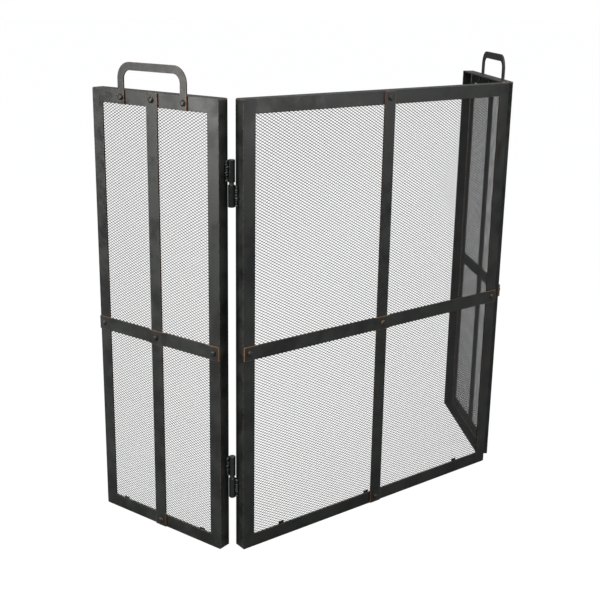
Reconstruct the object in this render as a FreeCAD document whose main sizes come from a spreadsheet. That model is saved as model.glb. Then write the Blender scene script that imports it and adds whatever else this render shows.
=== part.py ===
"""Folding three-panel fireplace screen.

A wide centre panel stands on its bottom rail and carries a narrower wing on each side. Every panel is
a mitred frame of steel angle with an expanded-metal sheet behind its front leg, and one vertical and one
horizontal strap riveted across it. The wings have a U-shaped handle on top. Each wing turns on two
weld-on barrel hinges whose axis lies in the rear plane of the frames.

World frame: +Z up, +X to the right seen from the front, +Y to the back. The origin is the middle of the
centre panel's underside. Each panel is drawn in a frame of its own: the centre panel's is the world
frame, and a wing's has its Z axis on the hinge axis, with the wing drawn as if it were folded flat open.
"""
import FreeCAD, Part
import math
import os
import re

import Sketcher

DRIVING_SIZES = [
    # name, value in mm or degrees, what it is
    ("panel_height", 813, "height of every panel without its handle"),
    ("centre_width", 635, "width of the centre panel"),
    ("wing_width", 295, "width of each wing"),
    ("leg_width", 25, "front leg of the frame angle"),
    ("frame_depth", 23, "rearward leg of the frame angle"),
    ("bar_wall", 3, "wall of the frame angle"),
    ("root_radius", 2.5, "radius inside the frame angle"),
    ("edge_radius", 0.8, "radius on the outer edges of the frame angle"),
    ("corner_radius", 4, "rounding ground on each outer corner of a frame"),
    ("left_fold", 74, "how far the left wing is folded back at rest"),
    ("right_fold", 59, "how far the right wing is folded back at rest"),
    ("hinge_gap", 15.5, "gap between the centre panel and a wing that is folded flat open"),
    ("hinge_inset", 140, "hinge centre from the top or the bottom of the frame"),
    ("barrel_diameter", 12, "outside of a hinge knuckle"),
    ("knuckle_length", 38, "length of a hinge knuckle"),
    ("knuckle_chamfer", 0.8, "chamfer at the ends of a knuckle"),
    ("washer_height", 4, "spacer between two knuckles"),
    ("washer_diameter", 8.4, "outside of the spacer"),
    ("end_play", 0.15, "axial gap between the spacer and the wing knuckle"),
    ("pin_diameter", 6, "hinge pin"),
    ("pin_clearance", 0.05, "radial running clearance round the pin"),
    ("pin_reach", 31, "how far the pin goes into each knuckle"),
    ("pin_end_gap", 1, "space above the pin in the wing knuckle"),
    ("weld_reach", 10.5, "how far a weld bead runs forward from the hinge axis"),
    ("weld_inset", 1.5, "end of a weld bead from the end of its knuckle"),
    ("mesh_thickness", 1.2, "depth of the expanded-metal sheet"),
    ("mesh_clearance", 0.5, "gap between the sheet and the root of the frame angle"),
    ("strap_width", 25, "width of the flat-bar straps"),
    ("strap_thickness", 3, "thickness of the flat-bar straps"),
    ("strap_level", 377, "height of the horizontal strap's middle line"),
    ("strap_end_gap", 1, "end of a strap from the outside of the frame"),
    ("step_length", 10, "length of the horizontal strap's step"),
    ("step_clearance", 1.5, "flat run between that step and the vertical strap"),
    ("bend_radius", 2, "rounding of the bends in a strap"),
    ("handle_span", 160, "outside width of a handle"),
    ("handle_rise", 48, "height of a handle above its top rail"),
    ("handle_bar", 14, "face width of the handle bar"),
    ("handle_thickness", 3, "thickness of the handle bar"),
    ("handle_bend", 15, "inside radius of a handle's corners"),
    ("rivet_edge", 12.5, "rivet from the outside of the frame"),
    ("rivet_shank", 5, "diameter of a rivet's shank"),
    ("rivet_head", 11, "diameter of a rivet's round head"),
    ("rivet_head_height", 3.6, "height of a rivet's round head"),
    ("rivet_head_round", 3.4, "rounding of a rivet's head"),
    ("rivet_tail", 8, "diameter of a rivet's closed end"),
    ("rivet_tail_height", 1.6, "height of a rivet's closed end"),
    ("rivet_tail_round", 0.8, "rounding of a rivet's closed end"),
    ("rivet_clearance", 0.05, "radial gap round a rivet's shank"),
    ("clip_width", 11, "width of a mesh clip"),
    ("clip_thickness", 1.6, "thickness of a mesh clip"),
    ("clip_foot", 16, "how far a clip reaches down behind the bottom rail's front leg"),
    ("centre_clip_tip", 3, "how far a centre panel's clip stands above the bottom rail's front leg"),
    ("wing_clip_tip", 0.5, "how far a wing's clip stands above the bottom rail's front leg"),
    ("centre_clip_pitch", 228, "outer clips from the middle of the centre panel"),
    ("middle_clip_gap", 1, "gap between the vertical strap and the middle clip beside it"),
    ("wing_clip_pitch", 98, "clips from the middle of a wing"),
]

MAX_FILES = 60
MAX_NAME_LENGTH = 60

doc = FreeCAD.newDocument("FireplaceScreen")
sheet = doc.addObject("Spreadsheet::Sheet", "Sizes")
for row, (name, value, meaning) in enumerate(DRIVING_SIZES, start=1):
    sheet.set("A%d" % row, name)
    sheet.set("B%d" % row, str(value))
    sheet.setAlias("B%d" % row, name)
    sheet.set("C%d" % row, meaning)
doc.recompute()

SIZE_NAMES = {name for name, value, meaning in DRIVING_SIZES}
sub_parts = []


# ---- sizes as formulas ----

def bound(formula):
    """Turn a formula of plain size names into an expression on the sheet's cells."""
    def cell(match):
        word = match.group(0)
        return "Sizes." + word if word in SIZE_NAMES else word
    return re.sub(r"[A-Za-z_]+", cell, formula)


def size(formula):
    """The number that a formula of size names comes to."""
    return float(sheet.evalExpression(bound(formula)))


def total(*formulas):
    """The sum of several formulas."""
    return " + ".join("(%s)" % formula for formula in formulas)


def less(first, *others):
    """The first formula minus all the others."""
    return "(%s)" % first + "".join(" - (%s)" % other for other in others)


# ---- panels ----

class Panel:
    """The frame of reference of one panel: its side edges, its front plane and how it is turned."""

    def __init__(self, name, low_side, high_side, front, axis_side=0, fold=""):
        self.name = name
        self.low_side = low_side
        self.high_side = high_side
        self.middle = "(%s) / 2" % total(low_side, high_side)
        self.front = front
        self.axis_side = axis_side
        self.fold = fold

    def node(self, piece):
        return "%s_%s" % (self.name, piece)

    def behind(self, distance):
        """Y of the plane that lies a distance behind the frame's front plane."""
        return total(self.front, distance)


CENTRE = Panel("centre", "-centre_width / 2", "centre_width / 2", "-frame_depth / 2")
LEFT = Panel("left", "-hinge_gap / 2 - wing_width", "-hinge_gap / 2", "-frame_depth", -1, "-left_fold")
RIGHT = Panel("right", "hinge_gap / 2", "hinge_gap / 2 + wing_width", "-frame_depth", 1, "right_fold")
PANELS = (CENTRE, LEFT, RIGHT)
WINGS = (LEFT, RIGHT)

TOP = "panel_height"
UPPER_RIVET = "panel_height - rivet_edge"
MESH_BACK = "bar_wall + mesh_thickness"
HANDLE_RIVET_REACH = "(handle_span - handle_bar) / 2"
RIVET_HOLE = "rivet_shank + 2 * rivet_clearance"


# ---- drawing ----

def new_body(name, panel):
    """An empty body that lies in the frame of its panel and becomes one node."""
    body = doc.addObject("PartDesign::Body", "Body_" + name)
    body.Label = name
    if panel.axis_side:
        body.Placement.Rotation = FreeCAD.Rotation(FreeCAD.Vector(0, 0, 1), size(panel.fold))
        body.setExpression(".Placement.Rotation.Angle", bound("(%s) * 1 deg" % panel.fold))
        body.setExpression(".Placement.Base.x", bound("%d * (centre_width + hinge_gap) / 2" % panel.axis_side))
        body.setExpression(".Placement.Base.y", bound("frame_depth / 2"))
    sub_parts.append(body)
    return body


def new_sketch(body, role, offset):
    """A sketch parallel to one of the body's own planes, moved along that plane's normal."""
    plane = next(item for item in body.Origin.OriginFeatures if item.Role == role)
    sketch = body.newObject("Sketcher::SketchObject", body.Name + "_sketch")
    sketch.AttachmentSupport = [(plane, "")]
    sketch.MapMode = "FlatFace"
    sketch.setExpression("AttachmentOffset.Base.z", bound(offset))
    return sketch


def front_sketch(body, plane_y):
    """A sketch seen from the front, X across and Z up, on the plane at the given Y."""
    return new_sketch(body, "XZ_Plane", "-(%s)" % plane_y)


def hold(sketch, kind, geometry, point, formula):
    """Constrain one coordinate of a point to a formula."""
    index = sketch.addConstraint(Sketcher.Constraint(kind, -1, 1, geometry, point, size(formula)))
    sketch.setExpression("Constraints[%d]" % index, bound(formula))


def hold_radius(sketch, geometry, formula):
    index = sketch.addConstraint(Sketcher.Constraint("Radius", geometry, size(formula)))
    sketch.setExpression("Constraints[%d]" % index, bound(formula))


def draw_circle(sketch, across, up, diameter):
    middle = FreeCAD.Vector(size(across), size(up), 0)
    radius = "(%s) / 2" % diameter
    circle = sketch.addGeometry(Part.Circle(middle, FreeCAD.Vector(0, 0, 1), size(radius)), False)
    hold(sketch, "DistanceX", circle, 3, across)
    hold(sketch, "DistanceY", circle, 3, up)
    hold_radius(sketch, circle, radius)


def arc_between(start, end, radius, centre_on_left):
    """The short arc of a radius from start to end, with its centre on one side of the way there."""
    chord = end - start
    left = FreeCAD.Vector(-chord.y, chord.x, 0).normalize()
    towards_centre = left if centre_on_left else -left
    half = chord.Length / 2
    middle = (start + end) * 0.5 - towards_centre * (radius - math.sqrt(radius ** 2 - half ** 2))
    return Part.Arc(start, middle, end)


def end_at(sketch, geometry, place):
    """Which end of a drawn line or arc, 1 or 2, lies nearer to a place."""
    first = sketch.getPoint(geometry, 1)
    second = sketch.getPoint(geometry, 2)
    return 1 if (first - place).Length < (second - place).Length else 2


def draw_outline(sketch, corners, mirrored=False):
    """A closed outline through corners that are (across, up) or (across, up, radius, side).

    A radius says that the outline comes to that corner along an arc whose centre is on its "left" or
    on its "right". Mirrored swaps the two, for an outline that was turned over on its way here.
    """
    places = [FreeCAD.Vector(size(corner[0]), size(corner[1]), 0) for corner in corners]
    drawn = []
    for index, corner in enumerate(corners):
        curve = Part.LineSegment(places[index - 1], places[index])
        if len(corner) > 2:
            centre_on_left = (corner[3] == "left") != mirrored
            curve = arc_between(places[index - 1], places[index], size(corner[2]), centre_on_left)
        drawn.append(sketch.addGeometry(curve, False))
    for index, corner in enumerate(corners):
        this_piece = drawn[index]
        next_piece = drawn[(index + 1) % len(drawn)]
        this_end = end_at(sketch, this_piece, places[index])
        next_end = end_at(sketch, next_piece, places[index])
        sketch.addConstraint(Sketcher.Constraint("Coincident", this_piece, this_end, next_piece, next_end))
        hold(sketch, "DistanceX", this_piece, this_end, corner[0])
        hold(sketch, "DistanceY", this_piece, this_end, corner[1])
        if len(corner) > 2:
            hold_radius(sketch, this_piece, corner[2])


def pad(body, sketch, length, reverse=False):
    feature = body.newObject("PartDesign::Pad", body.Name + "_pad")
    feature.Profile = sketch
    feature.setExpression("Length", bound(length))
    feature.Reversed = reverse
    doc.recompute()
    return feature


def cut(body, sketch, depth="", reverse=False):
    """Cut a sketch out of the body, right through or to a depth, and make sure that it took some away."""
    before = body.Shape.Volume
    feature = body.newObject("PartDesign::Pocket", body.Name + "_cut")
    feature.Profile = sketch
    if depth:
        feature.setExpression("Length", bound(depth))
        feature.Reversed = reverse
    else:
        feature.Type = "ThroughAll"
        feature.SideType = "Symmetric"
    doc.recompute()
    if body.Shape.Volume >= before:
        raise RuntimeError("a cut took nothing from " + body.Label)
    return feature


def round_edges(body, radius, wanted):
    """Round the edges that the test wants, by a radius."""
    base = body.Tip
    names = ["Edge%d" % number for number, edge in enumerate(base.Shape.Edges, start=1) if wanted(edge)]
    feature = body.newObject("PartDesign::Fillet", body.Name + "_round")
    feature.Base = (base, names)
    feature.setExpression("Radius", bound(radius))
    doc.recompute()
    return feature


def chamfer_edges(body, width, wanted):
    base = body.Tip
    names = ["Edge%d" % number for number, edge in enumerate(base.Shape.Edges, start=1) if wanted(edge)]
    feature = body.newObject("PartDesign::Chamfer", body.Name + "_chamfer")
    feature.Base = (base, names)
    feature.setExpression("Size", bound(width))
    doc.recompute()
    return feature


def is_circle_at_y(edge, plane_y):
    return isinstance(edge.Curve, Part.Circle) and abs(edge.Curve.Center.y - plane_y) < 1e-6


def drill(body, panel, centres):
    """Rivet holes seen from the front, right through the body."""
    sketch = front_sketch(body, panel.front)
    for across, up in centres:
        draw_circle(sketch, across, up, RIVET_HOLE)
    cut(body, sketch)


# ---- where the rivets go ----

def side_rivets(panel):
    """The four rivets that hold the strap ends to the frame: bottom, top, low side and high side."""
    return {
        "bottom_rail": (panel.middle, "rivet_edge"),
        "top_rail": (panel.middle, UPPER_RIVET),
        "low_stile": (total(panel.low_side, "rivet_edge"), "strap_level"),
        "high_stile": (less(panel.high_side, "rivet_edge"), "strap_level"),
    }


def crossing_rivet(panel):
    return (panel.middle, "strap_level")


def handle_rivets(panel):
    """The two rivets of a wing's handle, and none on the centre panel."""
    if not panel.axis_side:
        return []
    low = (less(panel.middle, HANDLE_RIVET_REACH), UPPER_RIVET)
    high = (total(panel.middle, HANDLE_RIVET_REACH), UPPER_RIVET)
    return [low, high]


# ---- frame ----

def angle_section(across, up, mirrored):
    """Corners of the angle's section, from its depth and its distance inward to sketch coordinates."""
    corners = [
        ("edge_radius", "0"),
        ("frame_depth - edge_radius", "0"),
        ("frame_depth", "edge_radius", "edge_radius", "left"),
        ("frame_depth", "bar_wall - edge_radius"),
        ("frame_depth - edge_radius", "bar_wall", "edge_radius", "left"),
        ("bar_wall + root_radius", "bar_wall"),
        ("bar_wall", "bar_wall + root_radius", "root_radius", "right"),
        ("bar_wall", "leg_width - edge_radius"),
        ("bar_wall - edge_radius", "leg_width", "edge_radius", "left"),
        ("edge_radius", "leg_width"),
        ("0", "leg_width - edge_radius", "edge_radius", "left"),
        ("0", "edge_radius"),
    ]
    placed = [(across(depth, inward), up(depth, inward)) + tuple(arc) for depth, inward, *arc in corners]
    placed[0] = placed[0] + ("edge_radius", "left")
    return placed


def mitre_outline(across, up):
    """What is cut off one end of a bar: beyond the mitre, and outside the rounded frame corner."""
    past = "leg_width"
    on_mitre = "corner_radius * (1 - sqrt(0.5))"
    corners = [
        ("corner_radius", "-(%s)" % past),
        ("corner_radius", "0"),
        (on_mitre, on_mitre, "corner_radius", "right"),
        ("leg_width + " + past, "leg_width + " + past),
        ("-(%s)" % past, "leg_width + " + past),
        ("-(%s)" % past, "-(%s)" % past),
    ]
    return [(across(along, inward), up(along, inward)) + tuple(arc) for along, inward, *arc in corners]


def rail(panel, name, at_top):
    """A top or bottom bar of a frame: angle along X, mitred at both ends."""
    def height(inward):
        return less(TOP, inward) if at_top else inward

    body = new_body(panel.node(name), panel)
    section = new_sketch(body, "YZ_Plane", panel.low_side)
    corners = angle_section(
        lambda depth, inward: panel.behind(depth), lambda depth, inward: height(inward), at_top)
    draw_outline(section, corners, mirrored=at_top)
    pad(body, section, less(panel.high_side, panel.low_side))
    ends = front_sketch(body, panel.front)
    low_end = mitre_outline(
        lambda along, inward: total(panel.low_side, along), lambda along, inward: height(inward))
    high_end = mitre_outline(
        lambda along, inward: less(panel.high_side, along), lambda along, inward: height(inward))
    draw_outline(ends, low_end, mirrored=at_top)
    draw_outline(ends, high_end, mirrored=not at_top)
    cut(body, ends)
    holes = [side_rivets(panel)["top_rail" if at_top else "bottom_rail"]]
    if at_top:
        holes += handle_rivets(panel)
    drill(body, panel, holes)


def stile(panel, name, on_high_side):
    """An upright bar of a frame: angle along Z, mitred at both ends."""
    def place(inward):
        return less(panel.high_side, inward) if on_high_side else total(panel.low_side, inward)

    body = new_body(panel.node(name), panel)
    section = new_sketch(body, "XY_Plane", "0")
    corners = angle_section(
        lambda depth, inward: place(inward), lambda depth, inward: panel.behind(depth), on_high_side)
    draw_outline(section, corners, mirrored=not on_high_side)
    pad(body, section, TOP)
    ends = front_sketch(body, panel.front)
    lower_end = mitre_outline(
        lambda along, inward: place(inward), lambda along, inward: along)
    upper_end = mitre_outline(
        lambda along, inward: place(inward), lambda along, inward: less(TOP, along))
    draw_outline(ends, lower_end, mirrored=not on_high_side)
    draw_outline(ends, upper_end, mirrored=on_high_side)
    cut(body, ends)
    drill(body, panel, [side_rivets(panel)["high_stile" if on_high_side else "low_stile"]])


def mesh_sheet(panel):
    """The expanded-metal sheet as a plain slab of its outer size, behind the frame's front leg."""
    body = new_body(panel.node("mesh"), panel)
    margin = "bar_wall + root_radius + mesh_clearance"
    low = total(panel.low_side, margin)
    high = less(panel.high_side, margin)
    bottom = margin
    top = less(TOP, margin)
    outline = front_sketch(body, panel.behind(MESH_BACK))
    draw_outline(outline, [(low, bottom), (high, bottom), (high, top), (low, top)])
    pad(body, outline, "mesh_thickness")
    drill(body, panel, list(side_rivets(panel).values()) + [crossing_rivet(panel)] + handle_rivets(panel))


# ---- straps ----

def vertical_strap(panel):
    """Straight flat bar on the front of both rails."""
    body = new_body(panel.node("vertical_strap"), panel)
    front = panel.behind("-strap_thickness")
    back = panel.behind("0")
    bottom = "strap_end_gap"
    top = less(TOP, "strap_end_gap")
    profile = new_sketch(body, "YZ_Plane", less(panel.middle, "strap_width / 2"))
    draw_outline(profile, [(front, bottom), (back, bottom), (back, top), (front, top)])
    pad(body, profile, "strap_width")
    side = side_rivets(panel)
    drill(body, panel, [side["bottom_rail"], side["top_rail"], crossing_rivet(panel)])


def horizontal_strap(panel):
    """Flat bar on the front of both stiles, stepped forward over the vertical strap."""
    body = new_body(panel.node("horizontal_strap"), panel)
    over_stile = panel.behind("-strap_thickness")
    over_strap = panel.behind("-2 * strap_thickness")
    # how far a bend on the strap's back lies before the same bend on its front
    shift = "(sqrt(step_length^2 + strap_thickness^2) - step_length)"
    crossing = "strap_width / 2 + step_clearance"
    line = [
        (total(panel.low_side, "strap_end_gap"), over_stile, "0"),
        (less(panel.middle, crossing, "step_length"), over_stile, "-" + shift),
        (less(panel.middle, crossing), over_strap, "-" + shift),
        (total(panel.middle, crossing), over_strap, shift),
        (total(panel.middle, crossing, "step_length"), over_stile, shift),
        (less(panel.high_side, "strap_end_gap"), over_stile, "0"),
    ]
    front_line = [(across, depth) for across, depth, moved in line]
    back_line = [(less(across, moved), total(depth, "strap_thickness")) for across, depth, moved in line]
    profile = new_sketch(body, "XY_Plane", "strap_level - strap_width / 2")
    draw_outline(profile, front_line + back_line[::-1])
    pad(body, profile, "strap_width")
    low = size(total(panel.low_side, "strap_end_gap"))
    high = size(less(panel.high_side, "strap_end_gap"))
    round_edges(body, "bend_radius", lambda edge: is_bend(edge, FreeCAD.Vector(0, 0, 1), "x", low, high))
    side = side_rivets(panel)
    drill(body, panel, [side["low_stile"], side["high_stile"], crossing_rivet(panel)])


def is_bend(edge, along, coordinate, low, high):
    """Is this a straight edge across the strap, away from the strap's two ends?"""
    if not isinstance(edge.Curve, Part.Line):
        return False
    start = edge.Vertexes[0].Point
    end = edge.Vertexes[-1].Point
    if (end - start).cross(along).Length > 1e-6:
        return False
    place = getattr(start, coordinate)
    return low + 1e-6 < place < high - 1e-6


# ---- rivets and clips ----

def add_rivets(body, panel, centres, head_plane, clamped):
    """Round-head rivets: shank through what is clamped, head in front and closed end behind the mesh."""
    back_plane = panel.behind(MESH_BACK)
    shanks = front_sketch(body, back_plane)
    heads = front_sketch(body, head_plane)
    tails = front_sketch(body, back_plane)
    for across, up in centres:
        draw_circle(shanks, across, up, "rivet_shank")
        draw_circle(heads, across, up, "rivet_head")
        draw_circle(tails, across, up, "rivet_tail")
    pad(body, shanks, clamped)
    pad(body, heads, "rivet_head_height")
    crown = size(less(head_plane, "rivet_head_height"))
    round_edges(body, "rivet_head_round", lambda edge: is_circle_at_y(edge, crown))
    pad(body, tails, "rivet_tail_height", reverse=True)
    end = size(total(back_plane, "rivet_tail_height"))
    round_edges(body, "rivet_tail_round", lambda edge: is_circle_at_y(edge, end))


def strap_rivets(panel):
    body = new_body(panel.node("rivets"), panel)
    end_clamp = "strap_thickness + " + MESH_BACK
    add_rivets(body, panel, side_rivets(panel).values(), panel.behind("-strap_thickness"), end_clamp)
    crossing_clamp = "2 * strap_thickness + " + MESH_BACK
    add_rivets(body, panel, [crossing_rivet(panel)], panel.behind("-2 * strap_thickness"), crossing_clamp)


def mesh_clips(panel):
    """Small plates behind the bottom rail that hold the sheet's lower edge to the front leg."""
    if panel.axis_side:
        middles = [less(panel.middle, "wing_clip_pitch"), total(panel.middle, "wing_clip_pitch")]
        tip = "wing_clip_tip"
    else:
        beside_strap = "-(strap_width / 2 + middle_clip_gap + clip_width / 2)"
        middles = ["-centre_clip_pitch", beside_strap, "centre_clip_pitch"]
        tip = "centre_clip_tip"
    body = new_body(panel.node("mesh_clips"), panel)
    outline = front_sketch(body, panel.behind(MESH_BACK))
    for middle in middles:
        low = less(middle, "clip_width / 2")
        high = total(middle, "clip_width / 2")
        bottom = "leg_width - clip_foot"
        top = "leg_width + " + tip
        draw_outline(outline, [(low, bottom), (high, bottom), (high, top), (low, top)])
    pad(body, outline, "clip_thickness", reverse=True)


# ---- handles ----

def handle(panel):
    """U of flat bar in front of the top rail, with round corners and both legs riveted."""
    body = new_body(panel.node("handle"), panel)
    low = less(panel.middle, "handle_span / 2")
    high = total(panel.middle, "handle_span / 2")
    foot = less(TOP, "leg_width")
    crest = total(TOP, "handle_rise")
    outer = "handle_bend + handle_bar"
    corners = [
        (low, foot),
        (total(low, "handle_bar"), foot),
        (total(low, "handle_bar"), less(crest, outer)),
        (total(low, outer), less(crest, "handle_bar"), "handle_bend", "right"),
        (less(high, outer), less(crest, "handle_bar")),
        (less(high, "handle_bar"), less(crest, outer), "handle_bend", "right"),
        (less(high, "handle_bar"), foot),
        (high, foot),
        (high, less(crest, outer)),
        (less(high, outer), crest, outer, "left"),
        (total(low, outer), crest),
        (low, less(crest, outer), outer, "left"),
    ]
    outline = front_sketch(body, panel.front)
    draw_outline(outline, corners)
    pad(body, outline, "handle_thickness")
    drill(body, panel, handle_rivets(panel))


def rivets_of_handle(panel):
    body = new_body(panel.node("handle_rivets"), panel)
    clamped = "handle_thickness + " + MESH_BACK
    add_rivets(body, panel, handle_rivets(panel), panel.behind("-handle_thickness"), clamped)


# ---- hinges ----

HINGE_LEVELS = ("hinge_inset", "panel_height - hinge_inset")
REAR_PLANE = "frame_depth / 2"


def axis_in_centre(side):
    """X of a hinge axis in the centre panel's frame."""
    return "%d * (centre_width + hinge_gap) / 2" % side


def upper_knuckle_foot(level):
    return total(level, "washer_height / 2", "end_play")


def lower_knuckle_foot(level):
    return less(level, "washer_height / 2", "knuckle_length")


def knuckles(name, panel, across, up, foot_of, open_below):
    """Two hinge knuckles, bored for the pin from the end that faces the other knuckle."""
    body = new_body(name, panel)
    for level in HINGE_LEVELS:
        foot = foot_of(level)
        head = total(foot, "knuckle_length")
        barrel = new_sketch(body, "XY_Plane", foot)
        draw_circle(barrel, across, up, "barrel_diameter")
        pad(body, barrel, "knuckle_length")
        ends = (size(foot), size(head))
        barrel_radius = size("barrel_diameter / 2")
        chamfer_edges(body, "knuckle_chamfer", lambda edge: is_rim(edge, ends, barrel_radius))
        if open_below:
            bore = new_sketch(body, "XY_Plane", foot)
            draw_circle(bore, across, up, "pin_diameter + 2 * pin_clearance")
            cut(body, bore, "pin_reach + pin_end_gap", reverse=True)
        else:
            bore = new_sketch(body, "XY_Plane", head)
            draw_circle(bore, across, up, "pin_diameter")
            cut(body, bore, "pin_reach")


def is_rim(edge, heights, radius):
    """Is this the round edge of a given radius at one of the heights?"""
    if not isinstance(edge.Curve, Part.Circle):
        return False
    at_height = any(abs(edge.Curve.Center.z - height) < 1e-6 for height in heights)
    return at_height and abs(edge.Curve.Radius - radius) < 1e-6


def weld_beads(name, panel, axis_x, axis_y, side, foot_of):
    """Fillet welds between each knuckle and the rearward leg beside it."""
    body = new_body(name, panel)
    radius = "barrel_diameter / 2"
    for level in HINGE_LEVELS:
        corners = [
            (total(axis_x, "%d * barrel_diameter / 2" % side), axis_y),
            (total(axis_x, "%d * hinge_gap / 2" % side), axis_y),
            (total(axis_x, "%d * hinge_gap / 2" % side), less(axis_y, "weld_reach")),
            (total(axis_x, "%d * barrel_diameter / 4" % side), less(axis_y, "barrel_diameter * sqrt(3) / 4")),
        ]
        corners[0] = corners[0] + (radius, "left")
        section = new_sketch(body, "XY_Plane", total(foot_of(level), "weld_inset"))
        draw_outline(section, corners, mirrored=side < 0)
        pad(body, section, "knuckle_length - 2 * weld_inset")


def hinge_pins(name, axis_x):
    """Pins fixed in the centre panel's knuckles."""
    body = new_body(name, CENTRE)
    for level in HINGE_LEVELS:
        end = new_sketch(body, "XY_Plane", less(level, "washer_height / 2", "pin_reach"))
        draw_circle(end, axis_x, REAR_PLANE, "pin_diameter")
        pad(body, end, "washer_height + 2 * pin_reach")


def hinge_washers(name, axis_x):
    """Spacers round the pins, each resting on the centre panel's knuckle."""
    body = new_body(name, CENTRE)
    for level in HINGE_LEVELS:
        ring = new_sketch(body, "XY_Plane", less(level, "washer_height / 2"))
        draw_circle(ring, axis_x, REAR_PLANE, "washer_diameter")
        draw_circle(ring, axis_x, REAR_PLANE, "pin_diameter + 2 * pin_clearance")
        pad(body, ring, "washer_height")


# ---- assembly ----

def build_panel(panel, low_stile_name, high_stile_name):
    rail(panel, "top_rail", at_top=True)
    rail(panel, "bottom_rail", at_top=False)
    stile(panel, low_stile_name, on_high_side=False)
    stile(panel, high_stile_name, on_high_side=True)
    mesh_sheet(panel)
    vertical_strap(panel)
    horizontal_strap(panel)
    strap_rivets(panel)
    mesh_clips(panel)


def build_hinge_side(wing):
    """Everything of the two hinges on one side of the centre panel."""
    side = wing.axis_side
    axis_x = axis_in_centre(side)
    knuckles(wing.node("wing_knuckles"), wing, "0", "0", upper_knuckle_foot, open_below=True)
    weld_beads(wing.node("wing_welds"), wing, "0", "0", side, upper_knuckle_foot)
    knuckles("centre_%s_knuckles" % wing.name, CENTRE, axis_x, REAR_PLANE, lower_knuckle_foot, open_below=False)
    weld_beads("centre_%s_welds" % wing.name, CENTRE, axis_x, REAR_PLANE, -side, lower_knuckle_foot)
    hinge_pins(wing.node("hinge_pins"), axis_x)
    hinge_washers(wing.node("hinge_washers"), axis_x)


build_panel(CENTRE, "left_stile", "right_stile")
build_panel(LEFT, "outer_stile", "hinge_stile")
build_panel(RIGHT, "hinge_stile", "outer_stile")
for wing in WINGS:
    handle(wing)
    rivets_of_handle(wing)
    build_hinge_side(wing)


# ---- checks and export ----

doc.recompute()
for item in doc.Objects:
    if {"Invalid", "Error"} & set(item.State):
        raise RuntimeError("%s did not compute: %s" % (item.Label, item.State))
if len(sub_parts) > MAX_FILES:
    raise RuntimeError("too many sub-parts: %d" % len(sub_parts))

os.makedirs("parts", exist_ok=True)
for body in sub_parts:
    shape = body.Shape
    if shape.isNull() or not shape.isValid() or not shape.Solids:
        raise RuntimeError(body.Label + " has no valid solid")
    if len(body.Label) >= MAX_NAME_LENGTH:
        raise RuntimeError(body.Label + " is too long a name")
    shape.exportStep("parts/%s.step" % body.Label)
    print("%-26s solids %d  volume %.0f" % (body.Label, len(shape.Solids), shape.Volume))
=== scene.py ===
import math

import bpy
from mathutils import Matrix, Vector


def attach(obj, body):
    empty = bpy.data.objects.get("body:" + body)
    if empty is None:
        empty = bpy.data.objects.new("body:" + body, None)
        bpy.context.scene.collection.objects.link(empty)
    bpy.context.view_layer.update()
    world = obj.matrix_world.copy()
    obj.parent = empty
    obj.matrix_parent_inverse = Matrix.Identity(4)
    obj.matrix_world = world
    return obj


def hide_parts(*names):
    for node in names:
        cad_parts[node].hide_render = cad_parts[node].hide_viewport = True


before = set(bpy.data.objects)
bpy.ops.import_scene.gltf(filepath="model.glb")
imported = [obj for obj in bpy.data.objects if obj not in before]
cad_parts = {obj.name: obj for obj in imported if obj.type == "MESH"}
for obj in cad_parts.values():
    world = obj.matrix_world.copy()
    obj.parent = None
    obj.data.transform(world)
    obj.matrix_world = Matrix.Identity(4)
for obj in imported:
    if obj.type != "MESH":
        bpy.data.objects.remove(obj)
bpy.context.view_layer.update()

bl_info = {
    "name": "Folding Fire Screen",
    "version": (1, 0, 0),
    "blender": (4, 5, 0),
    "location": "3D View > Sidebar > Fire Screen",
    "description": "Expanded metal, welds, eased bars and finishes for a folding fire screen",
    "category": "Object",
}

BODIES = {"centre": "centre_panel", "left": "left_wing", "right": "right_wing"}
WINGS = ("left", "right")
UP = Vector((0, 0, 1))
MM = 0.001

# sockets of a Mix node that mixes colours: it has others with the same names
FACTOR, COLOUR_A, COLOUR_B, MIXED = 0, 6, 7, 2


# ---- colours and nodes ----

def linear(hex_colour):
    """Turn an sRGB hex colour into linear red, green, blue and alpha."""
    channels = [int(hex_colour[place:place + 2], 16) / 255 for place in (1, 3, 5)]
    light = [c / 12.92 if c <= 0.04045 else ((c + 0.055) / 1.055) ** 2.4 for c in channels]
    return (*light, 1.0)


def per_metre(millimetres):
    """Scale of a pattern whose features are this large."""
    return 1 / (millimetres * MM)


def add_node(tree, kind, inputs=None, **settings):
    """Add a shader node with its settings, and fill or link its inputs by name or place."""
    node = tree.nodes.new(kind)
    for name, value in settings.items():
        setattr(node, name, value)
    for name, value in (inputs or {}).items():
        if isinstance(value, bpy.types.NodeSocket):
            tree.links.new(value, node.inputs[name])
        else:
            node.inputs[name].default_value = value
    return node


def new_material(name):
    """An empty material with its output node; returns the material, its tree and the output."""
    material = bpy.data.materials.new(name)
    material.use_nodes = True
    tree = material.node_tree
    tree.nodes.clear()
    return material, tree, add_node(tree, "ShaderNodeOutputMaterial")


# ---- sizes and colours a user would change ----

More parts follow.
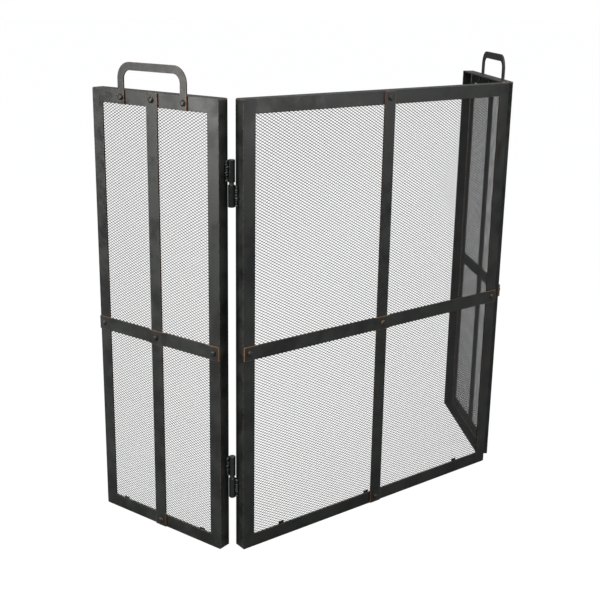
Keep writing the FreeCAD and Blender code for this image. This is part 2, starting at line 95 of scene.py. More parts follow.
class ExpandedMetalSizes(bpy.types.PropertyGroup):
    diamond_width: bpy.props.FloatProperty(
        name="Diamond Width", description="Long way of one diamond", default=9.05 * MM,
        unit="LENGTH")
    diamond_height: bpy.props.FloatProperty(
        name="Diamond Height", description="Short way of one diamond", default=5.14 * MM,
        unit="LENGTH")
    strand_width: bpy.props.FloatProperty(
        name="Strand Width", description="Width of a strand seen from the front", default=0.45 * MM,
        unit="LENGTH")
    strand_depth: bpy.props.FloatProperty(
        name="Strand Depth", description="Depth of a strand", default=1.04 * MM, unit="LENGTH")
    centre_tilt: bpy.props.FloatProperty(
        name="Centre Tilt",
        description="How far the centre panel's strands lean upwards to the front, like slats",
        default=math.radians(34), subtype="ANGLE")
    wing_tilt: bpy.props.FloatProperty(
        name="Wing Tilt",
        description="How far the wings' strands lean upwards to the front, like slats",
        default=math.radians(13), subtype="ANGLE")
    bond_width: bpy.props.FloatProperty(
        name="Bond Width", description="Long way of the knot between four strands",
        default=3.0 * MM, unit="LENGTH")
    bond_height: bpy.props.FloatProperty(
        name="Bond Height", description="Short way of the knot between four strands",
        default=1.6 * MM, unit="LENGTH")
    bond_depth: bpy.props.FloatProperty(
        name="Bond Depth", description="Depth of the knot between four strands", default=1.1 * MM,
        unit="LENGTH")


class BarSizes(bpy.types.PropertyGroup):
    eased_edge: bpy.props.FloatProperty(
        name="Eased Edge", description="Rounding on the edges of the flat bars", default=0.45 * MM,
        unit="LENGTH")
    ripple_pitch: bpy.props.FloatProperty(
        name="Ripple Pitch", description="Distance between the ripples of a weld", default=4.2 * MM,
        unit="LENGTH")


class FinishColours(bpy.types.PropertyGroup):
    enamel: bpy.props.FloatVectorProperty(
        name="Enamel", description="Dark enamel on the frames and straps", subtype="COLOR", size=4,
        default=linear("#141615"), min=0, max=1)
    enamel_thin: bpy.props.FloatVectorProperty(
        name="Thin Enamel", description="Enamel where it lies thinner", subtype="COLOR", size=4,
        default=linear("#232623"), min=0, max=1)
    copper: bpy.props.FloatVectorProperty(
        name="Rubbed Copper", description="Copper tone where the enamel is rubbed off",
        subtype="COLOR", size=4,
        default=linear("#9a6f53"), min=0, max=1)
    mesh: bpy.props.FloatVectorProperty(
        name="Mesh", description="Dipped black paint on the expanded metal", subtype="COLOR",
        size=4,
        default=linear("#1c1c1e"), min=0, max=1)
    hinge: bpy.props.FloatVectorProperty(
        name="Hinge", description="Gloss black paint on hinges and welds", subtype="COLOR", size=4,
        default=linear("#0c0d0e"), min=0, max=1)
    brass: bpy.props.FloatVectorProperty(
        name="Spacer", description="Dull yellow metal of the hinge spacers", subtype="COLOR",
        size=4,
        default=linear("#6f6c58"), min=0, max=1)
    floor: bpy.props.FloatVectorProperty(
        name="Floor", description="Pale floor under the screen", subtype="COLOR", size=4,
        default=linear("#f6f6f6"), min=0, max=1)


class StageSizes(bpy.types.PropertyGroup):
    camera_place: bpy.props.FloatVectorProperty(
        name="Camera", description="Where the camera stands", subtype="TRANSLATION", size=3,
        default=(-1.25993, -1.38683, 0.98320))
    camera_yaw: bpy.props.FloatProperty(
        name="Yaw", description="How far the camera looks to the right of straight back",
        subtype="ANGLE",
        default=math.radians(37.65))
    camera_pitch: bpy.props.FloatProperty(
        name="Pitch", description="How far the camera looks down", subtype="ANGLE",
        default=math.radians(15.72))
    camera_roll: bpy.props.FloatProperty(
        name="Roll", description="How far the camera leans", subtype="ANGLE",
        default=math.radians(0.91))
    camera_lens: bpy.props.FloatProperty(
        name="Lens", description="Focal length in millimetres on a 36 mm sensor", default=61.56)
    camera_shift: bpy.props.FloatVectorProperty(
        name="Shift", description="Shift of the frame", size=2, default=(0.00175, -0.0353))
    sky_strength: bpy.props.FloatProperty(
        name="Sky", description="Light from straight above", default=0.7)
    side_strength: bpy.props.FloatProperty(
        name="Sides", description="Light from all sides at the height of the screen", default=0.2)
    glow: bpy.props.FloatProperty(
        name="Floor Glow", description="How much the floor itself shines", default=1.03)


# ---- modelling ----

# an edge that rises less than this is level
LEVEL = 1e-6


def take(*pieces):
    """Select these pieces only, with the first one active."""
    bpy.ops.object.select_all(action="DESELECT")
    for piece in pieces:
        piece.select_set(True)
    bpy.context.view_layer.objects.active = pieces[0]


def add_modifier(piece, kind, **settings):
    """Add a modifier with its settings and apply it at once."""
    modifier = piece.modifiers.new(kind.title(), kind)
    for name, value in settings.items():
        setattr(modifier, name, value)
    take(piece)
    bpy.ops.object.modifier_apply(modifier=modifier.name)


def repeat(piece, count, step):
    """Repeat a piece along a step."""
    add_modifier(piece, "ARRAY", count=count, use_relative_offset=False, use_constant_offset=True,
                 constant_offset_displace=step)


def trim(piece, point, outward):
    """Cut a piece off flat at a plane and close the cuts."""
    take(piece)
    bpy.ops.object.mode_set(mode="EDIT")
    bpy.ops.mesh.select_all(action="SELECT")
    bpy.ops.mesh.bisect(plane_co=point, plane_no=outward, use_fill=True, clear_outer=True)
    bpy.ops.object.mode_set(mode="OBJECT")


def trim_to_sheet(piece, low, high):
    """Cut a piece off flat at the four edges of an upright sheet."""
    for point, outward in (
            (low, (-1, 0, 0)), (high, (1, 0, 0)), (low, (0, 0, -1)), (high, (0, 0, 1))):
        trim(piece, point, outward)


def turn_out(piece):
    """Make every face of a closed piece point outwards."""
    take(piece)
    bpy.ops.object.mode_set(mode="EDIT")
    bpy.ops.mesh.select_all(action="SELECT")
    bpy.ops.mesh.normals_make_consistent(inside=False)
    bpy.ops.object.mode_set(mode="OBJECT")


def join(name, pieces):
    """Join pieces into one that has a name."""
    take(*pieces)
    if len(pieces) > 1:
        bpy.ops.object.join()
    piece = bpy.context.object
    piece.name = name
    piece.data.name = name
    return piece


def apply_place(piece):
    """Leave the piece where it is, with its place in its mesh."""
    take(piece)
    bpy.ops.object.transform_apply(location=True, rotation=True, scale=True)


def settle(piece, space):
    """Move a piece that was made in a panel's own space to where the panel stands."""
    piece.matrix_world = space
    apply_place(piece)


def hand_over(piece, panel, material, slot, *nodes):
    """Give a finished piece its material and body, and let it stand for its CAD nodes."""
    piece.data.materials.clear()
    piece.data.materials.append(material)
    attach(piece, BODIES[panel])
    if nodes:
        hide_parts(*nodes)


def panel_space(panel):
    """A panel's own space: X along it, Y to its back and Z up, about the world's origin."""
    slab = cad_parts[panel + "_mesh"].data
    best = Vector((0, 0, 0))
    for edge in slab.edges:
        start, end = (slab.vertices[index].co for index in edge.vertices)
        run = end - start
        if abs(run.z) < LEVEL and run.length > best.length:
            best = run
    along = best.normalized() if best.x > 0 else -best.normalized()
    back = UP.cross(along)
    return Matrix((along, back, UP)).transposed().to_4x4()


def box_in(space, points):
    """Lowest and highest corners of some points in a panel's own space."""
    places = [space.inverted() @ point for point in points]
    low = Vector([min(place[axis] for place in places) for axis in range(3)])
    high = Vector([max(place[axis] for place in places) for axis in range(3)])
    return low, high


def node_points(node):
    """Every corner point of a CAD node, in the world."""
    return [vertex.co.copy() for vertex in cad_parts[node].data.vertices]


# ---- expanded metal ----

# length of an untrimmed strand against the sheet's width, so that a leaning one still crosses it
STRAND_REACH = 1.3


def strand_family(sizes, tilt, low, high, lean):
    """All strands that rise one way across the sheet, cut off at its edges."""
    middle = (low + high) / 2
    width = high.x - low.x
    rise = sizes.diamond_height / sizes.diamond_width
    below = math.ceil(width * rise / 2 / sizes.diamond_height)
    count = math.ceil((high.z - low.z) / sizes.diamond_height) + 2 * below
    first = low.z + sizes.diamond_height * (0.5 - below)
    bpy.ops.mesh.primitive_cube_add(
        size=1, location=(middle.x, middle.y, first), rotation=(-tilt, -lean * math.atan(rise), 0),
        scale=(width * STRAND_REACH, sizes.strand_depth, sizes.strand_width))
    strands = bpy.context.object
    apply_place(strands)
    repeat(strands, count, (0, 0, sizes.diamond_height))
    trim_to_sheet(strands, low, high)
    return strands


def bond_lattice(sizes, tilt, low, high):
    """The small knots where four strands meet: flat double pyramids, one at each crossing."""
    middle = (low + high) / 2
    columns = math.ceil((high.x - low.x) / sizes.diamond_width / 2)
    rows = math.ceil((high.z - low.z) / sizes.diamond_height)
    bpy.ops.mesh.primitive_cone_add(
        vertices=4, radius1=1, radius2=0, depth=sizes.bond_depth / 2, end_fill_type="NOTHING",
        location=(0, -sizes.bond_depth / 4, 0), rotation=(math.radians(90), 0, 0),
        scale=(sizes.bond_width / 2, sizes.bond_height / 2, 1))
    bonds = bpy.context.object
    apply_place(bonds)
    add_modifier(bonds, "MIRROR", use_axis=(False, True, False))
    turn_out(bonds)
    bonds.rotation_euler = (-tilt, 0, 0)
    bonds.location = (
        middle.x - columns * sizes.diamond_width, middle.y, low.z - sizes.diamond_height / 2)
    apply_place(bonds)
    repeat(bonds, 2, (sizes.diamond_width / 2, 0, sizes.diamond_height / 2))
    repeat(bonds, 2 * columns + 1, (sizes.diamond_width, 0, 0))
    repeat(bonds, rows + 2, (0, 0, sizes.diamond_height))
    trim_to_sheet(bonds, low, high)
    return bonds


class FIRESCREEN_OT_expanded_metal(bpy.types.Operator):
    """Make the expanded-metal sheet of each panel from its strands and bonds"""
    bl_idname = "firescreen.expanded_metal"
    bl_label = "Expanded Metal"

    def execute(self, context):
        sizes = context.scene.firescreen_mesh
        paint = dipped_paint(context.scene.firescreen_colours)
        for panel in BODIES:
            space = panel_space(panel)
            low, high = box_in(space, node_points(panel + "_mesh"))
            tilt = sizes.wing_tilt if panel in WINGS else sizes.centre_tilt
            parts = [strand_family(sizes, tilt, low, high, lean) for lean in (1, -1)]
            parts.append(bond_lattice(sizes, tilt, low, high))
            sheet = join(panel + "_expanded_metal", parts)
            settle(sheet, space)
            hand_over(sheet, panel, paint, "mesh", panel + "_mesh")
        return {"FINISHED"}


# ---- flat bars ----

# points closer than this are one corner, and faces that turn less than this are one flat
SAME_CORNER = 0.01 * MM
SAME_FLAT = math.radians(0.5)
# edges that turn more than the first are eased, and shading is smooth up to the second
EASED_TURN = math.radians(40)
SMOOTH_TURN = math.radians(35)


def eased_copy(name, node, width):
    """A copy of a CAD bar with its sharp edges rounded a little."""
    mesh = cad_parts[node].data.copy()
    copy = bpy.data.objects.new(name, mesh)
    bpy.context.collection.objects.link(copy)
    take(copy)
    bpy.ops.object.mode_set(mode="EDIT")
    bpy.ops.mesh.select_all(action="SELECT")
    bpy.ops.mesh.remove_doubles(threshold=SAME_CORNER)
    bpy.ops.mesh.dissolve_limited(angle_limit=SAME_FLAT)
    bpy.ops.object.mode_set(mode="OBJECT")
    bpy.ops.mesh.customdata_custom_splitnormals_clear()
    add_modifier(
        copy, "BEVEL", width=width, segments=2, limit_method="ANGLE", angle_limit=EASED_TURN)
    bpy.ops.object.shade_smooth_by_angle(angle=SMOOTH_TURN)
    add_modifier(copy, "WEIGHTED_NORMAL", keep_sharp=True)
    return copy


class FIRESCREEN_OT_flat_bars(bpy.types.Operator):
    """Ease the edges of the crossing straps and the handles"""
    bl_idname = "firescreen.flat_bars"
    bl_label = "Flat Bars"

    def execute(self, context):
        width = context.scene.firescreen_bars.eased_edge
        colours = context.scene.firescreen_colours
        for panel in BODIES:
            paint = rubbed_enamel("Rubbed enamel on %s straps" % panel, colours, STRAP_WEAR, panel)
            fixings = [panel + "_rivets", panel + "_mesh_clips"]
            fixing_paint = rubbed_enamel(
                "Rubbed enamel on %s rivets" % panel, colours, RIVET_WEAR, panel)
            for strap in ("vertical_strap", "horizontal_strap"):
                node = "%s_%s" % (panel, strap)
                hand_over(eased_copy(node + "_eased", node, width), panel, paint, "strap", node)
            if panel in WINGS:
                node = panel + "_handle"
                hand_over(eased_copy(node + "_eased", node, width), panel, paint, "handle", node)
                fixings.append(node + "_rivets")
            paint_nodes(fixing_paint, fixings)
        return {"FINISHED"}


# ---- welds ----

# each drop leans back this far, and is this large against the box and the ripples
DROP_LEAN = math.radians(22)
DROP_WIDTH, DROP_DEPTH, DROP_HEIGHT = 0.6, 0.5, 0.62
# how far a drop strays sideways and backwards
SIDEWAYS_STRAY, BACKWARDS_STRAY = 0.3 * MM, 0.8 * MM
FEWEST_DROPS = 3
# grain of the mesh that fuses the drops, and the share of its faces that is kept
WELD_GRAIN = 0.4 * MM
WELD_FACES = 0.4


def bead(low, high, pitch):
    """One lumpy bead that fills a box, laid down drop by drop."""
    middle = (low + high) / 2
    size = high - low
    count = max(FEWEST_DROPS, round(size.z / pitch))
    drops = []
    for index in range(count):
        # sines of unlike steps make drops that differ, the same ones each time
        swell = 1 + 0.16 * math.sin(2.3 * index + 31 * low.z) + 0.1 * math.sin(5.1 * index)
        sideways = SIDEWAYS_STRAY * math.sin(4 * index)
        backwards = BACKWARDS_STRAY * math.sin(1.7 * index)
        height = low.z + size.z * (index + 0.5) / count
        bpy.ops.mesh.primitive_uv_sphere_add(
            segments=16, ring_count=8, radius=1,
            location=(middle.x + sideways, middle.y + backwards, height),
            rotation=(DROP_LEAN, 0, 0),
            scale=(size.x * DROP_WIDTH * swell, size.y * DROP_DEPTH * swell, pitch * DROP_HEIGHT))
        drops.append(bpy.context.object)
    whole = join("bead", drops)
    apply_place(whole)
    add_modifier(whole, "REMESH", mode="VOXEL", voxel_size=WELD_GRAIN, use_smooth_shade=True)
    add_modifier(whole, "SMOOTH", factor=0.5, iterations=2)
    add_modifier(whole, "DECIMATE", ratio=WELD_FACES)
    return whole


def separate_boxes(space, node):
    """Boxes of the two pieces of a CAD node, one above the other, in a panel's own space."""
    points = sorted(node_points(node), key=lambda point: point.z)
    gaps = [after.z - before.z for before, after in zip(points, points[1:])]
    split = gaps.index(max(gaps)) + 1
    return [box_in(space, points[:split]), box_in(space, points[split:])]


class FIRESCREEN_OT_weld_beads(bpy.types.Operator):
    """Lay rippled weld beads between the hinge knuckles and the frames"""
    bl_idname = "firescreen.weld_beads"
    bl_label = "Weld Beads"

    def execute(self, context):
        pitch = context.scene.firescreen_bars.ripple_pitch
        paint = gloss_black(context.scene.firescreen_colours)
        for wing in WINGS:
            for panel, node in ((wing, wing + "_wing_welds"), ("centre", "centre_%s_welds" % wing)):
                space = panel_space(panel)
                beads = [bead(low, high, pitch) for low, high in separate_boxes(space, node)]
                welds = join(node + "_rippled", beads)
                settle(welds, space)
                hand_over(welds, panel, paint, "weld", node)
        return {"FINISHED"}


# ---- finishes ----

# how far each kind of piece is rubbed
STRAP_WEAR, RIVET_WEAR, FRAME_WEAR = 1.2, 0.3, 0.7
# values of the spots and of the patches where rubbing starts and is full, on a piece with no wear,
# and how far one step of wear lowers them
SPOT_START, SPOT_FULL = 0.60, 0.80
PATCH_START, PATCH_FULL = 0.58, 0.70
WEAR_STEP = 0.2
# values of the clouds where the enamel is thick and where it's thin
CLOUD_THICK, CLOUD_THIN = 0.38, 0.62
# a rolled bar is flat down to the first value and fully round at the second
ROLLED_FLAT, ROLLED_ROUND = 0.985, 0.85
# a flat bar's edge is rubbed this far in, where the rounded surface turns from the real one
EDGE_REACH = 1.3 * MM
EDGE_FLAT, EDGE_TURNED = 0.995, 0.92
# a face is a front down to the first value and a side from the second
FRONT_FACING, SIDE_FACING = 0.75, 0.35
# a side is rubbed when it stands this far in front of the frame, and no higher than this above it
PROUD_DEPTH = 0.6 * MM
ABOVE_FRAME = 4 * MM
# rubbing at a riveted end starts this far in from the panel's edge, and is full this far in
END_LENGTH, END_FULL = 32 * MM, 27 * MM
# rubbing round the straps' crossing starts this far from its middle, and is full this near to it
CROSSING_REACH, CROSSING_FULL = 26 * MM, 17 * MM
# share of the rubbing that is left along a bar's free length
FREE_LENGTH_SHARE = 0.2
# rubbed copper is partly tarnished, so it shines less than clean metal
COPPER_METALLIC = 0.35


def panel_direction(panel, axis):
    """One of a panel's own directions, in the world."""
    return panel_space(panel).to_3x3() @ Vector(axis)


def rolled_edge(tree, panel, surface):
    """How far a surface turns away from a rolled bar's flat sides: 0 on a flat, up to 1."""
    along, back = panel_direction(panel, (1, 0, 0)), panel_direction(panel, (0, 1, 0))
    flattest = None
    for direction in (along, back, UP):
        reach = add_node(tree, "ShaderNodeVectorMath", {
            0: surface, 1: direction}, operation="DOT_PRODUCT").outputs["Value"]
        flat = add_node(tree, "ShaderNodeMath", {0: reach}, operation="ABSOLUTE").outputs[0]
        if flattest is not None:
            flat = add_node(tree, "ShaderNodeMath", {
                0: flattest, 1: flat}, operation="MAXIMUM").outputs[0]
        flattest = flat
    return add_node(tree, "ShaderNodeMapRange", {
        "Value": flattest, "From Min": ROLLED_FLAT, "From Max": ROLLED_ROUND}).outputs["Result"]


def proud_side(tree, panel, where, surface, wear):
    """Rubbing in patches, on the sides of what stands in front of a panel's frame."""
    space = panel_space(panel)
    back = panel_direction(panel, (0, 1, 0))
    low, high = box_in(space, node_points(panel + "_top_rail"))
    front_plane = back.dot(space @ low)

    # patches of 14 mm, so that one end is rubbed more than another
    patches = add_node(tree, "ShaderNodeTexNoise", {
        "Vector": where, "Scale": per_metre(14), "Detail": 4.0, "Roughness": 0.75}).outputs["Fac"]
    patched = add_node(tree, "ShaderNodeMapRange", {
        "Value": patches, "From Min": PATCH_START - WEAR_STEP * wear,
        "From Max": PATCH_FULL - WEAR_STEP * wear}).outputs["Result"]
    reach = add_node(tree, "ShaderNodeVectorMath", {
        0: surface, 1: back}, operation="DOT_PRODUCT").outputs["Value"]
    facing = add_node(tree, "ShaderNodeMath", {0: reach}, operation="ABSOLUTE").outputs[0]
    side = add_node(tree, "ShaderNodeMapRange", {
        "Value": facing, "From Min": FRONT_FACING, "From Max": SIDE_FACING}).outputs["Result"]
    depth = add_node(tree, "ShaderNodeVectorMath", {
        0: where, 1: back}, operation="DOT_PRODUCT").outputs["Value"]
    proud = add_node(tree, "ShaderNodeMapRange", {
        "Value": depth, "From Min": front_plane,
        "From Max": front_plane - PROUD_DEPTH}).outputs["Result"]
    height = add_node(tree, "ShaderNodeSeparateXYZ", {0: where}).outputs["Z"]
    beside_frame = add_node(tree, "ShaderNodeMapRange", {
        "Value": height, "From Min": high.z + ABOVE_FRAME, "From Max": high.z}).outputs["Result"]
    rubbed = patched
    for share in (side, proud, beside_frame):
        rubbed = add_node(tree, "ShaderNodeMath", {
            0: rubbed, 1: share}, operation="MULTIPLY").outputs[0]
    return rubbed


def riveted_places(tree, panel, where):
    """1 where a bar is riveted, on the frame and where the straps cross, and less between."""
    space = panel_space(panel)
    along = panel_direction(panel, (1, 0, 0))
    low, high = box_in(space, node_points(panel + "_top_rail"))
    strap_low, strap_high = box_in(space, node_points(panel + "_horizontal_strap"))
    middle = (strap_low + strap_high) / 2

    across = add_node(tree, "ShaderNodeVectorMath", {
        0: where, 1: along}, operation="DOT_PRODUCT").outputs["Value"]
    height = add_node(tree, "ShaderNodeSeparateXYZ", {0: where}).outputs["Z"]
    crossing = add_node(tree, "ShaderNodeVectorMath", {
        0: where, 1: space @ middle}, operation="DISTANCE").outputs["Value"]
    riveted = add_node(tree, "ShaderNodeMapRange", {
        "Value": crossing, "From Min": CROSSING_REACH, "From Max": CROSSING_FULL}).outputs["Result"]
    for value, centre, limit in (
            (across, middle.x, (high.x - low.x) / 2), (height, high.z / 2, high.z / 2)):
        offset = add_node(tree, "ShaderNodeMath", {
            0: value, 1: centre}, operation="SUBTRACT").outputs[0]
        reach = add_node(tree, "ShaderNodeMath", {0: offset}, operation="ABSOLUTE").outputs[0]
        end = add_node(tree, "ShaderNodeMapRange", {
            "Value": reach, "From Min": limit - END_LENGTH,
            "From Max": limit - END_FULL}).outputs["Result"]
        riveted = add_node(tree, "ShaderNodeMath", {
            0: riveted, 1: end}, operation="MAXIMUM").outputs[0]
    return add_node(tree, "ShaderNodeMapRange", {
        "Value": riveted, "To Min": FREE_LENGTH_SHARE, "To Max": 1.0}).outputs["Result"]


def rubbed_enamel(name, colours, wear, panel, rolled=False):
    """Satin enamel on steel, rubbed through to a copper undercoat along its edges.

    The eye sees a near-black skin with a soft sheen, a little cloudy where it lies thinner, with
    warm metallic lines on edges. Where a bar stands proud of the frame's front plane, its sides are
    rubbed too. A rolled bar has wide round edges, and the line lies on the rounding itself.
    """
    material, tree, output = new_material(name)
    place = add_node(tree, "ShaderNodeTexCoord")
    where, surface = place.outputs["Object"], place.outputs["Normal"]

    # clouds of 45 mm in the enamel, from wiping it on by hand
    clouds = add_node(tree, "ShaderNodeTexNoise", {
        "Vector": where, "Scale": per_metre(45), "Detail": 5.0, "Roughness": 0.7}).outputs["Fac"]
    cloudy = add_node(tree, "ShaderNodeMapRange", {
        "Value": clouds, "From Min": CLOUD_THICK, "From Max": CLOUD_THIN}).outputs["Result"]
    # spots of 4 mm where the rubbing took hold
    spots = add_node(tree, "ShaderNodeTexNoise", {
        "Vector": where, "Scale": per_metre(4), "Detail": 5.0, "Roughness": 0.7}).outputs["Fac"]
    spotted = add_node(tree, "ShaderNodeMapRange", {
        "Value": spots, "From Min": SPOT_START - WEAR_STEP * wear,
        "From Max": SPOT_FULL - WEAR_STEP * wear}).outputs["Result"]
    # orange peel of 1.5 mm
    peel = add_node(tree, "ShaderNodeTexNoise", {
        "Vector": where, "Scale": per_metre(1.5), "Detail": 2.0}).outputs["Fac"]

    if rolled:
        edge = rolled_edge(tree, panel, surface)
        rubbed = add_node(tree, "ShaderNodeMath", {
            0: edge, 1: spotted}, operation="MULTIPLY").outputs[0]
    else:
        rounded = add_node(tree, "ShaderNodeBevel", {
            "Radius": EDGE_REACH}, samples=6).outputs["Normal"]
        sharp = add_node(tree, "ShaderNodeNewGeometry").outputs["Normal"]
        turn = add_node(tree, "ShaderNodeVectorMath", {
            0: rounded, 1: sharp}, operation="DOT_PRODUCT").outputs["Value"]
        edge = add_node(tree, "ShaderNodeMapRange", {
            "Value": turn, "From Min": EDGE_FLAT, "From Max": EDGE_TURNED}).outputs["Result"]
        rubbed_edge = add_node(tree, "ShaderNodeMath", {
            0: edge, 1: spotted}, operation="MULTIPLY").outputs[0]
        rubbed_side = proud_side(tree, panel, where, surface, wear)
        both = add_node(tree, "ShaderNodeMath", {
            0: rubbed_edge, 1: rubbed_side}, operation="MAXIMUM").outputs[0]
        rubbed = add_node(tree, "ShaderNodeMath", {
            0: both, 1: riveted_places(tree, panel, where)}, operation="MULTIPLY").outputs[0]
    enamel = add_node(tree, "ShaderNodeMix", {
        FACTOR: cloudy, COLOUR_A: colours.enamel[:],
        COLOUR_B: colours.enamel_thin[:]}, data_type="RGBA").outputs[MIXED]
    colour = add_node(tree, "ShaderNodeMix", {
        FACTOR: rubbed, COLOUR_A: enamel,
        COLOUR_B: colours.copper[:]}, data_type="RGBA").outputs[MIXED]
    metallic = add_node(tree, "ShaderNodeMath", {
        0: rubbed, 1: COPPER_METALLIC}, operation="MULTIPLY").outputs[0]
    satin = add_node(tree, "ShaderNodeMapRange", {
        "Value": cloudy, "To Min": 0.28, "To Max": 0.52}).outputs["Result"]
    bump = add_node(tree, "ShaderNodeBump", {
        "Height": peel, "Strength": 0.12, "Distance": 0.1 * MM}).outputs["Normal"]
    shader = add_node(tree, "ShaderNodeBsdfPrincipled", {
        "Base Color": colour, "Metallic": metallic, "Roughness": satin, "Normal": bump})
    tree.links.new(shader.outputs[0], output.inputs["Surface"])
    return material


def dipped_paint(colours):
    """Thin black paint on expanded steel: matt, with a little sheen along the strands."""
    material, tree, output = new_material("Dipped black paint on expanded metal")
    where = add_node(tree, "ShaderNodeTexCoord").outputs["Object"]
    # patches of 30 mm where the paint ran thicker
    patches = add_node(tree, "ShaderNodeTexNoise", {
        "Vector": where, "Scale": per_metre(30), "Detail": 3.0}).outputs["Fac"]
    colour = add_node(tree, "ShaderNodeMix", {
        FACTOR: patches, COLOUR_A: colours.mesh[:],
        COLOUR_B: linear("#323232")}, data_type="RGBA").outputs[MIXED]
    roughness = add_node(tree, "ShaderNodeMapRange", {
        "Value": patches, "To Min": 0.38, "To Max": 0.55}).outputs["Result"]
    shader = add_node(tree, "ShaderNodeBsdfPrincipled", {
        "Base Color": colour, "Roughness": roughness})
    tree.links.new(shader.outputs[0], output.inputs["Surface"])
    return material


def gloss_black(colours):
    """Thick gloss black paint, brushed over hinges and welds: sharp highlights, slight sags."""
    material, tree, output = new_material("Gloss black paint")
    where = add_node(tree, "ShaderNodeTexCoord").outputs["Object"]
    # sags of 3 mm
    sags = add_node(tree, "ShaderNodeTexNoise", {
        "Vector": where, "Scale": per_metre(3), "Detail": 3.0}).outputs["Fac"]
    colour = add_node(tree, "ShaderNodeMix", {
        FACTOR: sags, COLOUR_A: colours.hinge[:],
        COLOUR_B: linear("#1a1b1c")}, data_type="RGBA").outputs[MIXED]
    roughness = add_node(tree, "ShaderNodeMapRange", {
        "Value": sags, "To Min": 0.2, "To Max": 0.4}).outputs["Result"]
    bump = add_node(tree, "ShaderNodeBump", {
        "Height": sags, "Strength": 0.3, "Distance": 0.2 * MM}).outputs["Normal"]
    shader = add_node(tree, "ShaderNodeBsdfPrincipled", {
        "Base Color": colour, "Roughness": roughness, "Normal": bump, "Coat Weight": 0.4,
        "Coat Roughness": 0.12})
    tree.links.new(shader.outputs[0], output.inputs["Surface"])
    return material


def bare_metal(name, dark, light, patch_mm, roughness):
    """Bare turned metal: dull, with darker tarnish in small patches."""
    material, tree, output = new_material(name)
    where = add_node(tree, "ShaderNodeTexCoord").outputs["Object"]
    tarnish = add_node(tree, "ShaderNodeTexNoise", {
        "Vector": where, "Scale": per_metre(patch_mm), "Detail": 4.0}).outputs["Fac"]
    colour = add_node(tree, "ShaderNodeMix", {
        FACTOR: tarnish, COLOUR_A: dark, COLOUR_B: light}, data_type="RGBA").outputs[MIXED]
    rough = add_node(tree, "ShaderNodeMapRange", {
        "Value": tarnish, "To Min": roughness, "To Max": roughness + 0.2}).outputs["Result"]
    shader = add_node(tree, "ShaderNodeBsdfPrincipled", {
        "Base Color": colour, "Metallic": 0.9, "Roughness": rough})
    tree.links.new(shader.outputs[0], output.inputs["Surface"])
    return material


def paint_nodes(material, names):
    """Give CAD nodes that stay as they are their finish."""
    for name in names:
        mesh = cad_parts[name].data
        mesh.materials.clear()
        mesh.materials.append(material)


class FIRESCREEN_OT_finishes(bpy.types.Operator):
    """Finish the frames and hinges that come straight from the CAD model"""
    bl_idname = "firescreen.finishes"
    bl_label = "Finishes"

    def execute(self, context):
        colours = context.scene.firescreen_colours
        names = sorted(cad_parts)
        for panel in BODIES:
            paint = rubbed_enamel(
                "Rubbed enamel on %s angle steel" % panel, colours, FRAME_WEAR, panel, rolled=True)
            of_panel = [name for name in names if name.startswith(panel)]
            paint_nodes(paint, [name for name in of_panel if name.endswith(("rail", "stile"))])
        paint_nodes(gloss_black(colours), [name for name in names if name.endswith("knuckles")])
        steel = bare_metal("Oiled bare steel", linear("#5c5c5e"), linear("#9a9a9c"), 2, 0.3)
        paint_nodes(steel, [name for name in names if name.endswith("pins")])
        brass = bare_metal("Dull brass", linear("#5f5a3e"), colours.brass[:], 2, 0.4)
        paint_nodes(brass, [name for name in names if name.endswith("washers")])
        return {"FINISHED"}


# ---- stage ----

# name, place, what it points at, width and height in metres, and watts
SOFTBOXES = (
    ("back_left_softbox", (-2.4, 0.62, 0.98), (-0.37, 0.1, 0.75), (0.7, 1.2), 38),
    ("front_right_softbox", (1.05, -1.9, 1.05), (-0.15, 0, 0.7), (0.9, 1.2), 13),
    ("front_left_softbox", (-1.9, -2.0, 2.3), (-0.1, 0.1, 0.45), (1.2, 1.2), 22),
    ("top_softbox", (-0.2, -0.6, 3.0), (0, 0.05, 0.4), (2.4, 2.0), 30),
)
LAMP_WHITE = (1, 1, 0.97)
# the floor reaches past everything the camera sees, and lies a hair under the screen
FLOOR_SIZE = 60
FLOOR_DROP = 0.3 * MM
# sensor in millimetres, and the furthest thing that the camera sees in metres
SENSOR_WIDTH = 36
FURTHEST_SEEN = 100
# above this, as the sine of its height, the white room is at its brightest
BRIGHT_ABOVE = 0.9


def add_softbox(name, place, target, size, power):
    """A large soft lamp that points at a place."""
    aim = (Vector(target) - Vector(place)).to_track_quat("-Z", "Y").to_euler()
    bpy.ops.object.light_add(type="AREA", location=place, rotation=aim)
    lamp = bpy.context.object
    lamp.name = name
    lamp.data.shape = "RECTANGLE"
    lamp.data.size, lamp.data.size_y = size
    lamp.data.energy = power
    lamp.data.color = LAMP_WHITE
    lamp.visible_camera = False


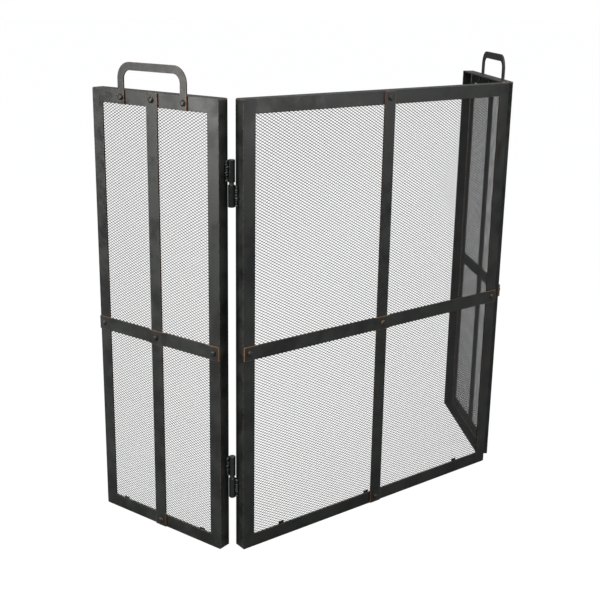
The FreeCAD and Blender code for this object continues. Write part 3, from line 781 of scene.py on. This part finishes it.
class FIRESCREEN_OT_stage(bpy.types.Operator):
    """Add the camera, the pale floor, the white surroundings and the soft lamps"""
    bl_idname = "firescreen.stage"
    bl_label = "Stage"

    def execute(self, context):
        stage = context.scene.firescreen_stage
        turn = Matrix.Rotation(-stage.camera_yaw, 4, "Z")
        turn @= Matrix.Rotation(math.radians(90) - stage.camera_pitch, 4, "X")
        turn @= Matrix.Rotation(stage.camera_roll, 4, "Z")
        bpy.ops.object.select_all(action="DESELECT")
        bpy.ops.object.camera_add(location=stage.camera_place, rotation=turn.to_euler())
        camera = context.object
        camera.data.lens = stage.camera_lens
        camera.data.sensor_width = SENSOR_WIDTH
        camera.data.shift_x, camera.data.shift_y = stage.camera_shift
        camera.data.clip_end = FURTHEST_SEEN
        context.scene.camera = camera

        bpy.ops.mesh.primitive_plane_add(size=FLOOR_SIZE, location=(0, 0, -FLOOR_DROP))
        floor = context.object
        floor.name = "pale_floor"
        floor.data.materials.append(
            pale_floor(context.scene.firescreen_colours.floor[:], stage.glow))

        context.scene.world = white_surroundings(stage.sky_strength, stage.side_strength)
        context.scene.view_settings.view_transform = "Standard"
        for name, place, target, size, power in SOFTBOXES:
            add_softbox(name, place, target, size, power)
        return {"FINISHED"}


def pale_floor(colour, glow):
    """Matt white studio floor that shines a little itself, which only the camera sees."""
    material, tree, output = new_material("Pale floor")
    seen = add_node(tree, "ShaderNodeLightPath").outputs["Is Camera Ray"]
    matt = add_node(tree, "ShaderNodeBsdfDiffuse", {"Color": linear("#505050")}).outputs[0]
    dim = add_node(tree, "ShaderNodeBsdfDiffuse", {"Color": linear("#8a8a8a")}).outputs[0]
    shine = add_node(tree, "ShaderNodeEmission", {"Color": colour, "Strength": glow}).outputs[0]
    bright = add_node(tree, "ShaderNodeAddShader", {0: matt, 1: shine}).outputs[0]
    mixed = add_node(tree, "ShaderNodeMixShader", {0: seen, 1: dim, 2: bright}).outputs[0]
    tree.links.new(mixed, output.inputs["Surface"])
    return material


def white_surroundings(sky, sides):
    """A white room: plain white to look at, and lit mostly from above."""
    world = bpy.data.worlds.new("White surroundings")
    world.use_nodes = True
    tree = world.node_tree
    tree.nodes.clear()
    output = add_node(tree, "ShaderNodeOutputWorld")
    seen = add_node(tree, "ShaderNodeLightPath").outputs["Is Camera Ray"]
    direction = add_node(tree, "ShaderNodeTexCoord").outputs["Generated"]
    height = add_node(tree, "ShaderNodeSeparateXYZ", {0: direction}).outputs["Z"]
    strength = add_node(tree, "ShaderNodeMapRange", {
        "Value": height, "From Min": 0.0, "From Max": BRIGHT_ABOVE,
        "To Min": sides, "To Max": sky}).outputs["Result"]
    light = add_node(tree, "ShaderNodeBackground", {
        "Color": (0.93, 0.97, 1, 1), "Strength": strength}).outputs[0]
    white = add_node(tree, "ShaderNodeBackground", {
        "Color": (1, 1, 1, 1), "Strength": 1.0}).outputs[0]
    mixed = add_node(tree, "ShaderNodeMixShader", {0: seen, 1: light, 2: white}).outputs[0]
    tree.links.new(mixed, output.inputs["Surface"])
    return world


class FIRESCREEN_PT_panel(bpy.types.Panel):
    """Sidebar panel with every step and size of the screen"""
    bl_idname = "FIRESCREEN_PT_panel"
    bl_label = "Fire Screen"
    bl_space_type = "VIEW_3D"
    bl_region_type = "UI"
    bl_category = "Fire Screen"

    def draw(self, context):
        for operator in OPERATORS:
            self.layout.operator(operator.bl_idname)
        for group in GROUPS:
            settings = getattr(context.scene, group)
            # the first two properties are Blender's own
            for name in settings.bl_rna.properties.keys()[2:]:
                self.layout.prop(settings, name)


GROUPS = {
    "firescreen_mesh": ExpandedMetalSizes,
    "firescreen_bars": BarSizes,
    "firescreen_colours": FinishColours,
    "firescreen_stage": StageSizes,
}
OPERATORS = (
    FIRESCREEN_OT_expanded_metal,
    FIRESCREEN_OT_flat_bars,
    FIRESCREEN_OT_weld_beads,
    FIRESCREEN_OT_finishes,
    FIRESCREEN_OT_stage,
)


def register():
    for group in GROUPS.values():
        bpy.utils.register_class(group)
    for operator in OPERATORS:
        bpy.utils.register_class(operator)
    bpy.utils.register_class(FIRESCREEN_PT_panel)
    for name, group in GROUPS.items():
        setattr(bpy.types.Scene, name, bpy.props.PointerProperty(type=group))


def unregister():
    for name in GROUPS:
        delattr(bpy.types.Scene, name)
    bpy.utils.unregister_class(FIRESCREEN_PT_panel)
    for operator in reversed(OPERATORS):
        bpy.utils.unregister_class(operator)
    for group in reversed(GROUPS.values()):
        bpy.utils.unregister_class(group)


def main():
    register()
    bpy.ops.firescreen.expanded_metal()
    bpy.ops.firescreen.flat_bars()
    bpy.ops.firescreen.weld_beads()
    bpy.ops.firescreen.finishes()
    bpy.ops.firescreen.stage()


if __name__ == "__main__":
    main()
